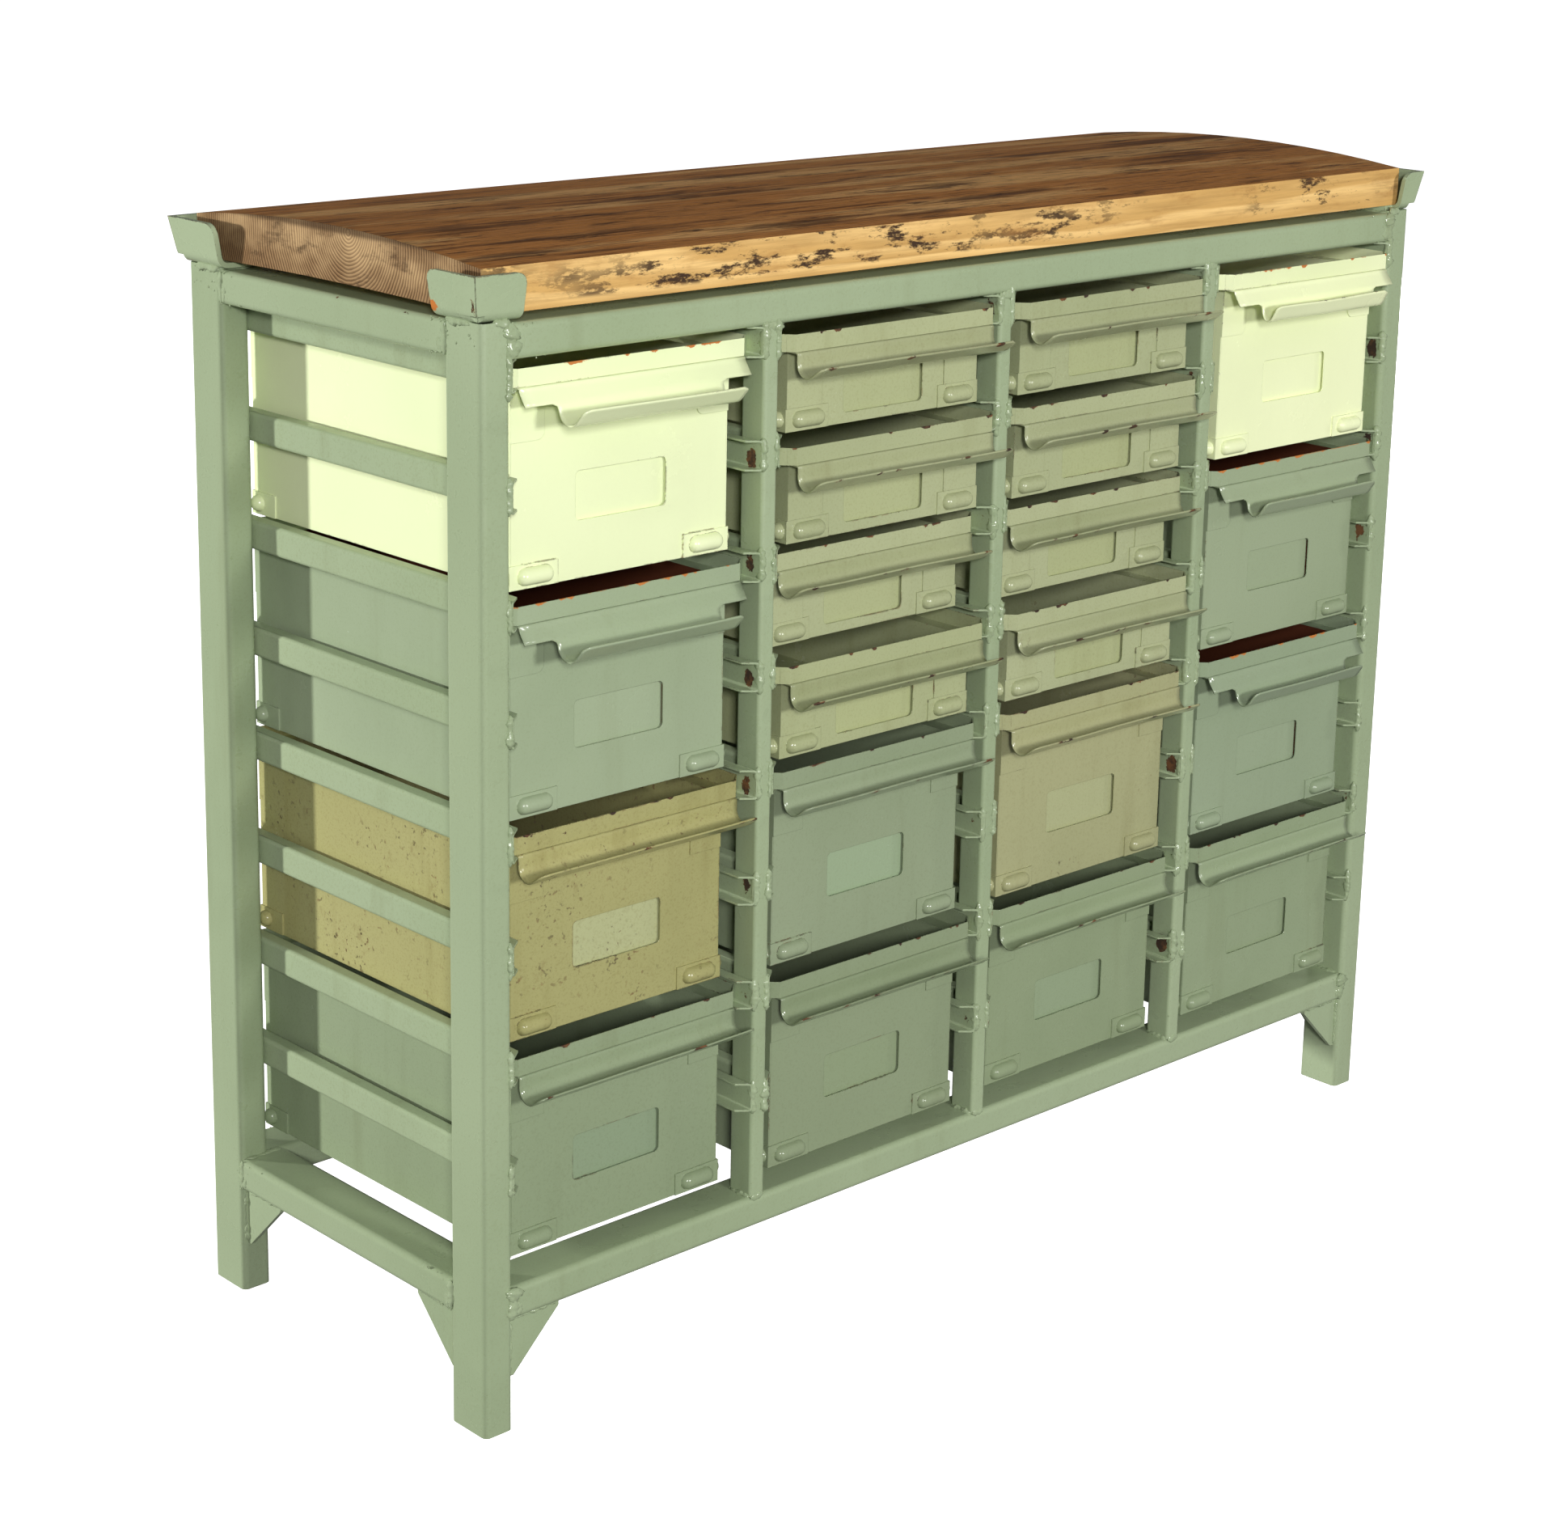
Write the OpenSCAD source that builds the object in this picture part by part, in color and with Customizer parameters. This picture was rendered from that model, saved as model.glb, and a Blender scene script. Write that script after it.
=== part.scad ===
// Welded steel bin rack: four columns of open sheet-steel bins hung in C-channel
// runners, in a frame of box section, with a cupped timber slab on top.
// Millimetres, +X to the right, +Y to the back, +Z up. The origin is on the floor,
// at the middle of the frame's footprint.

/* [Cells] */
// Clear width of one column, between two uprights
cell_w = 292; // [240:2:400]
// Height from one runner to the next
pitch = 105; // [92:1:150]
// Depth of the frame, front to back
frame_d = 445; // [360:5:700]
// Height left between the lowest pitch and the bottom rail
spare_h = 15; // [5:1:60]

/* [Frame] */
// Width of a corner post, left to right
post_w = 32; // [25:1:60]
// Depth of a corner post, front to back
post_d = 52; // [40:1:80]
// Height of a rail
rail_h = 32; // [25:1:60]
// Width of a rail across its run
rail_w = 52; // [40:1:80]
// Wall of the box section
tube_t = 2; // [1.5:0.5:4]
// Corner radius of the box section
tube_r = 6; // [4.5:0.5:10]
// Width of a divider upright
divider_w = 18; // [14:1:40]
// Depth of a divider upright
divider_d = 32; // [20:1:60]
// Corner radius of a divider upright
divider_r = 4; // [3:0.5:6]
// Clear height under the bottom rails
leg_h = 109; // [80:1:250]
// Height of the posts above the top rails
post_rise = 2; // [0.5:0.5:10]
// Thickness of the plate that closes the foot of a post
foot_t = 3; // [2:0.5:8]

/* [Gussets] */
// Leg of the triangular gusset under a bottom rail
gusset_leg = 58; // [30:1:75]
// Thickness of a gusset
gusset_t = 5; // [3:0.5:8]
// Blunted tip of a gusset
gusset_tip = 5; // [2:1:12]

/* [Corner guards] */
// Thickness of the guard plate
guard_t = 5; // [3:0.5:7]
// Height of a guard above its base
guard_h = 42; // [35:1:80]
// Outside radius of the bend at a guard's base
guard_bend = 12; // [8:0.5:16]
// Lean of a guard's flanges from upright, in degrees
guard_lean = 10; // [2:0.5:20]
// Inset of the side bend's centre behind the post's outer side
guard_side_in = 5; // [0:0.5:5.5]
// Inset of the front bend's centre behind the post's face
guard_front_in = 9; // [2:0.5:10]
// Inset of the rear bend's centre behind the post's rear face
guard_rear_in = 3; // [0:0.5:8]
// Length of a guard's front or rear flange
guard_len_x = 44; // [35:1:80]
// Length of the front right guard's short front flange
guard_short_x = 19; // [17:1:80]
// Length of a guard's side flange
guard_len_y = 60; // [40:1:90]
// Radius of the rounded upper corners
guard_corner_r = 11; // [4:0.5:15]
// Radius of the relief where the two bends meet
guard_relief_r = 10; // [3:0.5:12]
// Height of that relief
guard_relief_h = 7; // [4:0.5:8]
// Gap left at the mitre between a guard's two flanges
guard_gap = 0.3; // [0.2:0.1:2]

/* [Worktop] */
// Thickness of the slab at its edges
top_t = 40; // [28:1:70]
// Rise of the crowned upper face
top_crown = 13; // [4:1:20]
// Hollow of the cupped underside
top_cup = 3; // [1:0.5:6]
// Width of the flat along the slab's front and rear, under its edges
top_seat = 12; // [5:1:30]
// Gap from the left end to the outside of the frame
top_left_in = 8; // [6:1:20]
// Gap from the right end to the outside of the frame
top_right_in = 9; // [6:1:20]
// Play between the slab and the guards
top_play = 1; // [0.5:0.5:4]

/* [Runners] */
// Height of a runner channel
channel_h = 29; // [24:1:40]
// Depth of a runner channel, web included
channel_d = 14; // [10:0.5:15]
// Thickness of a runner channel
channel_t = 2; // [1.5:0.5:3]
// Outside radius of a runner's folds
channel_r = 4; // [3.5:0.5:6]
// Cut of a runner's flanges at their front ends, back from the web to their free edges
channel_cut = 10; // [2:0.5:20]
// Thickness of the stop that closes a runner's rear end
stop_t = 2; // [1.5:0.5:5]

/* [Bins] */
// Thickness of the bins' sheet
sheet = 1.2; // [1:0.1:2]
// Width of the ledge from a bin's wall out to its rim
ledge = 17; // [12:0.5:18]
// Height of the rim above the ledge's underside
rim_h = 16.5; // [12:0.5:18]
// Corner cut of the rim, seen from above
rim_cut = 13; // [6:0.5:13]
// Play between a rim and the runner's web, each side
side_play = 1; // [0.5:0.25:3]
// Play between a rim's ledge and the flange that it slides on
slide_play = 0.3; // [0.1:0.1:1]
// Play between a bin's floor and the top of the next used runner
stack_play = 0.5; // [0.3:0.1:10]
// Distance of a pushed-in rim behind the frame's front
setback = 15; // [5:1:60]
// Play between a pushed-in bin and the stops
stop_play = 0.3; // [0.1:0.1:2]
// Gap at the spot-welded seams between a bin's sheets
seam = 0.1; // [0.05:0.05:0.3]

/* [Bin fittings] */
// Width of the label window
window_w = 105; // [60:1:130]
// Height of the label window
window_h = 45; // [25:1:50]
// Corner radius of the label window
window_r = 5; // [2:0.5:12]
// Height of the window's middle above a tall bin's floor
window_tall_z = 75; // [45:1:110]
// Height of the window's middle above a low bin's floor
window_low_z = 32.5; // [31:0.5:38]
// Overlap of the card holder behind the window's edge
holder_lap = 5; // [3:0.5:7]
// Depth of the card holder
holder_d = 4; // [3:0.5:8]
// Length of a foot strap along the front or rear
strap_x = 53; // [48:1:70]
// Length of a foot strap along the side
strap_y = 36; // [28:1:60]
// Height of a foot strap
strap_h = 22; // [20:1:26]
// Thickness of a foot strap
strap_t = 1.5; // [1:0.1:2]
// Length of the boss on a foot strap
boss_l = 39; // [30:1:46]
// Radius of the boss on a foot strap
boss_r = 8; // [5:0.5:9]
// Width of the folded tabs on a low bin
tab_low_w = 45; // [25:1:70]
// Width of the folded tabs on a tall bin
tab_tall_w = 38; // [25:1:70]
// Height of the folded tabs on a tall bin
tab_tall_h = 52; // [30:1:90]
// Corner radius of the folded tabs beside a notched pull
tab_r = 8; // [3:0.5:15]

/* [Pulls] */
// Thickness of the pull strip
pull_t = 1.5; // [1:0.1:2]
// Reach of the pull strip in front of the rim
pull_proud = 2; // [1.6:0.1:4]
// Play between the pull's end and the runner's flange
pull_play = 2; // [1:0.5:10]
// Straight height of a gutter pull above its curve
gutter_leg = 9; // [4:0.5:20]
// Radius of a gutter pull's curve
gutter_r = 14; // [8:0.5:20]
// Radius of a gutter pull's rolled hem
hem_r = 3.5; // [2.5:0.5:5]
// Straight height of a notched pull above its curve
notched_leg = 15.5; // [13:0.5:25]
// Radius of a notched pull's curve
notched_r = 10; // [8:0.5:18]
// Radius of a notched pull's upturned lip
lip_r = 5; // [3:0.5:9]
// Height of a notched pull's lip above its curve
lip_rise = 4; // [1:0.5:8]
// Height of a notched pull's full-width band
band_h = 11; // [7:0.5:12.5]
// Width cut from a notched pull's lip at each end
notch_w = 35; // [15:1:70]
// Radius of the corner above a notch
notch_r = 5; // [2:0.5:10]

/* [Hidden] */
$fn = 48;
LEVELS = 8;
COLUMNS = 4;
SLACK = 1;

FRAME_GREEN = [0.62, 0.70, 0.56];
FRAME_SHADE = [0.55, 0.64, 0.50];
GUARD_GREEN = [0.60, 0.72, 0.58];
OAK = [0.50, 0.33, 0.21];
PALE = [0.90, 0.96, 0.74];
SAGE = [0.60, 0.69, 0.56];
BLUISH = [0.58, 0.69, 0.62];
BEIGE = [0.80, 0.78, 0.56];
GREY = [0.72, 0.73, 0.58];

// Frame
frame_w = 2 * post_w + (COLUMNS - 1) * divider_w + COLUMNS * cell_w;
left = -frame_w / 2;
front = -frame_d / 2;
rear = frame_d / 2;
low_rail_top = leg_h + rail_h;
top_rail_z = low_rail_top + LEVELS * pitch + spare_h;
post_h = top_rail_z + rail_h + post_rise;
inner_d = frame_d - 2 * post_d;
inner_w = frame_w - 2 * post_w;

// Bins, each in its own axes: X from the middle of its cell, Y from the front of its
// rim, Z from the underside of its ledge
rim_w = cell_w - 2 * (channel_t + side_play);
rim_l = frame_d - setback - stop_t - stop_play;
body_w = rim_w - 2 * ledge;
body_front = ledge;
body_rear = rim_l - ledge;
body_l = body_rear - body_front;
pull_w = min(cell_w - 2 * (channel_d + pull_play), rim_w - 2 * rim_cut);

// Each bin: column, place in the column from the top, uppermost runner level, pitches
// that it fills, pull ("gutter" or "notched"), how far it stands out of its pushed-in
// place, colour
BINS = [
    [1, 1, 1, 2, "notched", 4, PALE],
    [1, 2, 3, 2, "notched", 3, SAGE],
    [1, 3, 5, 2, "gutter", 2, BEIGE],
    [1, 4, 7, 2, "gutter", 3, SAGE],
    [2, 1, 1, 1, "gutter", 20, GREY],
    [2, 2, 2, 1, "gutter", 24, GREY],
    [2, 3, 3, 1, "gutter", 0, GREY],
    [2, 4, 4, 1, "gutter", 20, GREY],
    [2, 5, 5, 2, "gutter", 13, BLUISH],
    [2, 6, 7, 2, "gutter", 15, SAGE],
    [3, 1, 1, 1, "gutter", 23, GREY],
    [3, 2, 2, 1, "gutter", 20, GREY],
    [3, 3, 3, 1, "gutter", 6, GREY],
    [3, 4, 4, 1, "gutter", 21, GREY],
    [3, 5, 5, 2, "gutter", 18, BEIGE],
    [3, 6, 7, 2, "gutter", 12, BLUISH],
    [4, 1, 1, 2, "notched", 24, PALE],
    [4, 2, 3, 2, "notched", 18, SAGE],
    [4, 3, 5, 2, "notched", 17, SAGE],
    [4, 4, 7, 2, "gutter", 17, SAGE],
];

function column(b) = b[0];
function level(b) = b[2];
function pitches(b) = b[3];
function is_notched(b) = b[4] == "notched";
function stands_out(b) = b[5];
function tint(b) = b[6];
function bin_name(b) = str("bin_", b[0], "_", b[1]);
function pull_name(b) = str("pull_", b[0], "_", b[1]);
function runners_name(c) = str("runners_column_", c);

function cell_x(c) = left + post_w + (c - 1) * (cell_w + divider_w);
function runner_z(k) = top_rail_z - channel_h - (k - 1) * pitch;
function body_h(b) = pitches(b) * pitch - channel_h + channel_t + slide_play - stack_play;
function bin_place(b) = [
    cell_x(column(b)) + cell_w / 2,
    front + setback - stands_out(b),
    runner_z(level(b)) + channel_t + slide_play
];
function window_z(b) = (pitches(b) == 1 ? window_low_z : window_tall_z) - body_h(b);
function tab_w(b) = pitches(b) == 1 ? tab_low_w : tab_tall_w;
function tab_h(b) = pitches(b) == 1 ? body_h(b) - strap_h - seam : tab_tall_h;

POSTS = [
    ["post_front_left", 0, 0],
    ["post_front_right", 1, 0],
    ["post_rear_left", 0, 1],
    ["post_rear_right", 1, 1],
];

// ---- Plain shapes ----

// Rectangle with four rounded corners, from its lower left corner
module rounded_rect(w, h, r) {
    translate([r, 0]) square([w - 2 * r, h]);
    translate([0, r]) square([w, h - 2 * r]);
    for (x = [r, w - r], y = [r, h - r]) translate([x, y]) circle(r);
}

// Rectangle whose two left corners are rounded
module left_rounded(w, h, r) {
    translate([r, 0]) square([w - r, h]);
    translate([0, r]) square([w, h - 2 * r]);
    for (y = [r, h - r]) translate([r, y]) circle(r);
}

// Extrudes a section of Y and Z along +X
module along_x(l) {
    rotate([90, 0, 90]) linear_extrude(l) children();
}

// Extrudes a section of X and Z along +Y
module along_y(l) {
    translate([0, l, 0]) rotate([90, 0, 0]) linear_extrude(l) children();
}

// Hollow box section
module tube_section(w, h, r) {
    difference() {
        rounded_rect(w, h, r);
        translate([tube_t, tube_t]) rounded_rect(w - 2 * tube_t, h - 2 * tube_t, r - tube_t);
    }
}

// Stretch of a bent strip: an arc about the origin from angle a to angle b, less than
// a half turn, of inner radius r and thickness t
module arc_strip(r, t, a, b) {
    reach = 3 * (r + t);
    intersection() {
        difference() {
            circle(r + t);
            circle(r);
        }
        polygon([
            [0, 0],
            reach * [cos(a), sin(a)],
            reach * [cos((a + b) / 2), sin((a + b) / 2)],
            reach * [cos(b), sin(b)]
        ]);
    }
}

// Mirrors its children about a plane of X, where asked
module flip_x(at, on) {
    if (on) translate([2 * at, 0, 0]) mirror([1, 0, 0]) children();
    else children();
}

// Mirrors its children about a plane of Y, where asked
module flip_y(at, on) {
    if (on) translate([0, 2 * at, 0]) mirror([0, 1, 0]) children();
    else children();
}

// ---- Frame ----

module post(p) {
    color(FRAME_GREEN)
    translate([left + p[1] * (frame_w - post_w), front + p[2] * (frame_d - post_d), 0]) {
        linear_extrude(post_h) tube_section(post_w, post_d, tube_r);
        linear_extrude(foot_t) rounded_rect(post_w, post_d, tube_r);
    }
}

module long_rail(z, at_rear) {
    color(FRAME_GREEN)
    flip_y(0, at_rear)
    translate([left + post_w, front, z]) along_x(inner_w) tube_section(rail_w, rail_h, tube_r);
}

module side_rails(z) {
    color(FRAME_SHADE)
    for (right = [false, true])
        flip_x(0, right)
        translate([left, front + post_d, z]) along_y(inner_d) tube_section(rail_w, rail_h, tube_r);
}

module dividers(at_rear) {
    color(FRAME_GREEN)
    flip_y(0, at_rear)
    for (c = [2 : COLUMNS])
        translate([cell_x(c) - divider_w, front, low_rail_top])
        linear_extrude(top_rail_z - low_rail_top) tube_section(divider_w, divider_d, divider_r);
}

// C-channel on the left of a cell, open to the right and closed by a stop at the rear
module runner() {
    flange_d = channel_d - channel_t;
    difference() {
        along_y(frame_d)
        difference() {
            left_rounded(channel_d, channel_h, channel_r);
            translate([channel_t, channel_t])
            left_rounded(channel_d, channel_h - 2 * channel_t, channel_r - channel_t);
        }
        translate([channel_t, 0, -SLACK]) linear_extrude(channel_h + 2 * SLACK)
        polygon([[0, 0], [0, -SLACK], [2 * flange_d, -SLACK], [2 * flange_d, 2 * channel_cut]]);
    }
    translate([0, frame_d - stop_t, 0])
    along_y(stop_t) left_rounded(channel_d, channel_h, channel_r);
}

module runners(c) {
    color(FRAME_SHADE)
    for (k = [1 : LEVELS], right = [false, true])
        flip_x(cell_x(c) + cell_w / 2, right)
        translate([cell_x(c), front, runner_z(k)]) runner();
}

// Right-angled plate with blunted tips, its corner up and to the left, in X and Z
module gusset() {
    along_y(gusset_t)
    polygon([
        [0, 0], [gusset_leg, 0], [gusset_leg, -gusset_tip],
        [gusset_tip, -gusset_leg], [0, -gusset_leg]
    ]);
}

// One gusset in the front's plane and one in the side's, at each post
module gussets() {
    color(FRAME_SHADE)
    for (at_right = [false, true], at_rear = [false, true])
        flip_x(0, at_right) flip_y(0, at_rear) {
            translate([left + post_w, front + tube_r, leg_h]) gusset();
            translate([left + tube_r, front + post_d, leg_h])
            mirror([1, -1, 0]) gusset();
        }
}

// ---- Corner guards ----

// Section of a guard's flange, a bend and a leaning leg: the flange leans towards -X, and
// the bend's centre is above the origin
module guard_section() {
    steps = 8;
    // Length of the leg, past the guard's full height
    leg_l = (guard_h - guard_bend + guard_bend * sin(guard_lean)) / cos(guard_lean) + SLACK;
    up = leg_l * [-sin(guard_lean), cos(guard_lean)];
    // Directions from the bend's centre, from the base round to the leg
    turns = [for (i = [0 : steps]) let (a = 270 - (90 - guard_lean) * i / steps) [cos(a), sin(a)]];
    outer = [for (i = [0 : steps]) guard_bend * turns[i]];
    inner = [for (i = [steps : -1 : 0]) (guard_bend - guard_t) * turns[i]];
    translate([0, guard_bend]) polygon(concat(outer, [outer[steps] + up, inner[0] + up], inner));
}

// Face-on outline of a flange: its far upper corner is rounded
module guard_outline(l) {
    reach = 3 * guard_bend;
    translate([-reach, -SLACK]) square([reach + l - guard_corner_r, guard_h + SLACK]);
    translate([-reach, -SLACK]) square([reach + l, guard_h - guard_corner_r + SLACK]);
    translate([l - guard_corner_r, guard_h - guard_corner_r]) circle(guard_corner_r);
}

// Half space on one side of the mitre through the guard's corner
module mitre(centre_x, centre_y) {
    reach = 4 * (guard_len_x + guard_len_y);
    translate([centre_x + guard_gap / sqrt(2), centre_y, -reach / 2])
    linear_extrude(reach) polygon([[-reach, -reach], [reach, -reach], [reach, reach]]);
}

// Flange along X on a front left post, from the post's outer corner: centre_x and
// centre_y are the places of the side bend and of its own bend
module guard_flange(centre_x, centre_y, l) {
    intersection() {
        translate([-4 * guard_bend, centre_y, 0]) along_x(l + 4 * guard_bend) guard_section();
        translate([0, -post_d, 0]) along_y(2 * post_d) guard_outline(l);
        mitre(centre_x, centre_y);
    }
}

// Guard on a front left post: a base that lies on the post, a front flange of length
// len_x and a side flange
module guard(centre_x, centre_y, len_x) {
    difference() {
        union() {
            translate([centre_x, centre_y, 0]) {
                cube([len_x - centre_x, post_d - centre_y, guard_t]);
                cube([post_w - centre_x, guard_len_y - centre_y, guard_t]);
            }
            guard_flange(centre_x, centre_y, len_x);
            mirror([1, -1, 0]) guard_flange(centre_y, centre_x, guard_len_y);
        }
        translate([centre_x - guard_bend, centre_y - guard_bend, -SLACK])
        cylinder(r = guard_relief_r, h = guard_relief_h + SLACK);
    }
}

module corner_guards() {
    color(GUARD_GREEN)
    for (at_right = [false, true], at_rear = [false, true])
        flip_x(0, at_right) flip_y(0, at_rear)
        translate([left, front, post_h])
        guard(
            guard_side_in,
            at_rear ? guard_rear_in : guard_front_in,
            at_right && !at_rear ? guard_short_x : guard_len_x
        );
}

// ---- Worktop ----

// Radius of an arc of the given chord and rise
function arc_radius(chord, rise) = (chord * chord / 4 + rise * rise) / (2 * rise);

module worktop() {
    y_front = front + guard_front_in + top_play;
    y_rear = rear - guard_rear_in - top_play;
    depth = y_rear - y_front;
    x_left = left + top_left_in;
    x_right = -left - top_right_in;
    crown_r = arc_radius(depth, top_crown);
    cup_r = arc_radius(depth - 2 * top_seat, top_cup);
    color(OAK)
    translate([x_left, y_front, post_h + guard_t])
    along_x(x_right - x_left)
    difference() {
        intersection() {
            square([depth, top_t + top_crown]);
            translate([depth / 2, top_t + top_crown - crown_r]) circle(crown_r, $fn = 720);
        }
        translate([depth / 2, top_cup - cup_r]) circle(cup_r, $fn = 720);
    }
}

// ---- Bins ----

// Plan of the rim with its cut corners, shrunk by an inset
module rim_plan(inset) {
    x = rim_w / 2 - inset;
    y0 = inset;
    y1 = rim_l - inset;
    cut = rim_cut - inset * (2 - sqrt(2));
    polygon([
        [-x, y0 + cut], [-x + cut, y0], [x - cut, y0], [x, y0 + cut],
        [x, y1 - cut], [x - cut, y1], [-x + cut, y1], [-x, y1 - cut]
    ]);
}

// Boss of a foot strap: half a capsule along X that stands out towards -Y
module boss(l) {
    difference() {
        translate([-l / 2 + boss_r, 0, 0]) rotate([0, 90, 0]) rotate_extrude()
        intersection() {
            union() {
                circle(boss_r);
                translate([0, l - 2 * boss_r]) circle(boss_r);
                square([boss_r, l - 2 * boss_r]);
            }
            translate([0, -l]) square([boss_r, 3 * l]);
        }
        translate([-l, 0, -2 * boss_r]) cube([2 * l, 2 * boss_r, 4 * boss_r]);
    }
}

// Foot strap at the left end of a front, its plate's back on the wall at Y = 0, with the
// body's left edge at X = 0 and its bottom at Z = 0
module front_strap() {
    translate([-strap_t, -strap_t, 0]) cube([strap_x + strap_t, strap_t, strap_h]);
    translate([strap_x / 2, -strap_t, strap_h / 2]) boss(boss_l);
}

// Foot strap along the left side, its plate's back on the wall at X = 0
module side_strap() {
    translate([-strap_t, 0, 0]) cube([strap_t, strap_y, strap_h]);
    translate([-strap_t, boss_r + strap_t, strap_h / 2]) rotate([0, 0, -90]) boss(2 * boss_r + SLACK);
}

// Front or rear wall between the side walls, with two foot straps
module end_panel(h, opening) {
    difference() {
        translate([-body_w / 2 + sheet + seam, body_front, -h])
        cube([body_w - 2 * (sheet + seam), sheet, h - seam]);
        if (opening)
            translate([-window_w / 2, body_front - SLACK, opening - window_h / 2])
            along_y(sheet + 2 * SLACK) rounded_rect(window_w, window_h, window_r);
    }
    for (right = [false, true])
        flip_x(0, right) translate([-body_w / 2, body_front, -h]) front_strap();
}

// Fold of the left wall over the front, hung below the ledge, with its lower inner
// corner rounded where asked
module tab(w, h, rounded) {
    translate([-body_w / 2, body_front - seam - sheet, -h]) {
        along_y(sheet)
        difference() {
            square([w, h - seam]);
            if (rounded) difference() {
                translate([w - tab_r, 0]) square([tab_r, tab_r]);
                translate([w - tab_r, tab_r]) circle(tab_r);
            }
        }
        cube([sheet, sheet + 2 * seam, h - seam]);
    }
}

// Left wall with its tabs and its foot straps
module side_panel(h, w_tab, h_tab, rounded) {
    translate([-body_w / 2, body_front + seam, -h]) cube([sheet, body_l - 2 * seam, h - seam]);
    for (at_rear = [false, true])
        flip_y(rim_l / 2, at_rear) {
            tab(w_tab, h_tab, rounded);
            translate([-body_w / 2, body_front + seam, -h]) side_strap();
        }
}

module floor_panel(h) {
    inset = sheet + seam;
    translate([-body_w / 2 + inset, body_front + inset, -h])
    cube([body_w - 2 * inset, body_l - 2 * inset, sheet]);
}

// Four angles round the body, mitred at the corners: a ledge that slides on the runners and
// a band above it
module rim() {
    difference() {
        union() {
            linear_extrude(sheet) difference() {
                rim_plan(0);
                translate([-body_w / 2 + sheet, body_front + sheet])
                square([body_w - 2 * sheet, body_l - 2 * sheet]);
            }
            linear_extrude(rim_h) difference() {
                rim_plan(0);
                rim_plan(sheet);
            }
        }
        for (right = [false, true])
            flip_x(0, right)
            for (at_rear = [false, true])
                flip_y(rim_l / 2, at_rear) rim_mitre();
    }
}

// Seam between the front and left angles of a rim, from its outer corner to past the ledge
module rim_mitre() {
    translate([-rim_w / 2, 0, -SLACK]) rotate([0, 0, 45])
    translate([0, -seam / 2, 0]) cube([2 * (ledge + sheet), seam, rim_h + 2 * SLACK]);
}

// Shallow pan behind the label window, open at its right end for the card
module card_holder() {
    w = window_w + 2 * holder_lap;
    h = window_h + 2 * holder_lap;
    difference() {
        translate([-w / 2, 0, -h / 2]) cube([w, holder_d, h]);
        translate([-window_w / 2 - sheet, -SLACK, -window_h / 2 - sheet])
        cube([w, holder_d - sheet + SLACK, window_h + 2 * sheet]);
    }
}

module bin(b) {
    h = body_h(b);
    color(tint(b))
    translate(bin_place(b)) {
        rim();
        end_panel(h, window_z(b));
        flip_y(rim_l / 2, true) end_panel(h, 0);
        for (right = [false, true])
            flip_x(0, right) side_panel(h, tab_w(b), tab_h(b), is_notched(b));
        floor_panel(h);
        translate([0, body_front + sheet + seam, window_z(b)]) card_holder();
    }
}

// ---- Pulls ----

// Section of a pull from the ledge's underside down to the end of its curve, in Y and Z
module pull_section(leg, r) {
    seat = body_front - sheet - stop_play;
    translate([-pull_proud, -pull_t]) square([seat + pull_proud, pull_t]);
    translate([-pull_proud, -leg]) square([pull_t, leg]);
    translate([-pull_proud - r, -leg]) arc_strip(r, pull_t, -90, 0);
}

module gutter_pull() {
    translate([-pull_w / 2, 0, 0]) along_x(pull_w) {
        pull_section(gutter_leg, gutter_r);
        translate([-pull_proud - gutter_r, -gutter_leg - gutter_r - pull_t + hem_r]) circle(hem_r);
    }
}

// Face-on outline of a notched pull: a full-width band above a narrower lip
module notched_outline(drop) {
    lip_w = pull_w - 2 * notch_w;
    translate([-pull_w / 2, -band_h]) square([pull_w, band_h + SLACK]);
    translate([-lip_w / 2, -drop]) square([lip_w, drop]);
    for (s = [-1, 1]) difference() {
        translate([s * (lip_w / 2 + notch_r / 2), -band_h - notch_r / 2]) square(notch_r, center = true);
        translate([s * (lip_w / 2 + notch_r), -band_h - notch_r]) circle(notch_r);
    }
}

module notched_pull() {
    reach = pull_proud + notched_r + lip_r + pull_t;
    drop = notched_leg + notched_r + pull_t;
    intersection() {
        translate([-pull_w / 2, 0, 0]) along_x(pull_w) {
            pull_section(notched_leg, notched_r);
            translate([-pull_proud - notched_r, -notched_leg - notched_r + lip_r])
            arc_strip(lip_r, pull_t, 180, 270);
            translate([-reach, -notched_leg - notched_r + lip_r]) square([pull_t, lip_rise]);
        }
        translate([0, -2 * reach, 0])
        along_y(2 * reach + body_front) notched_outline(drop + SLACK);
    }
}

module pull(b) {
    color(tint(b))
    translate(bin_place(b))
    if (is_notched(b)) notched_pull();
    else gutter_pull();
}

// ---- Assembly ----

for (p = POSTS)
    post(p);
long_rail(top_rail_z, false);  // rail_top_front
long_rail(top_rail_z, true);  // rail_top_rear
side_rails(top_rail_z);  // rails_top_side
long_rail(leg_h, false);  // rail_bottom_front
long_rail(leg_h, true);  // rail_bottom_rear
side_rails(leg_h);  // rails_bottom_side
dividers(false);  // dividers_front
dividers(true);  // dividers_rear
for (c = [1 : COLUMNS])
    runners(c);
gussets();
corner_guards();
worktop();
for (b = BINS)
    bin(b);
for (b = BINS)
    pull(b);
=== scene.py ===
"""Looks of a welded steel bin rack: paint, timber, the bins' pulls, weld beads, light and camera.

Everything is in metres, in the part's own frame: +X right, +Y back, +Z up, floor at z = 0.
"""

import math
import random

import bmesh
import bpy
from mathutils import Matrix, Vector, noise


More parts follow.
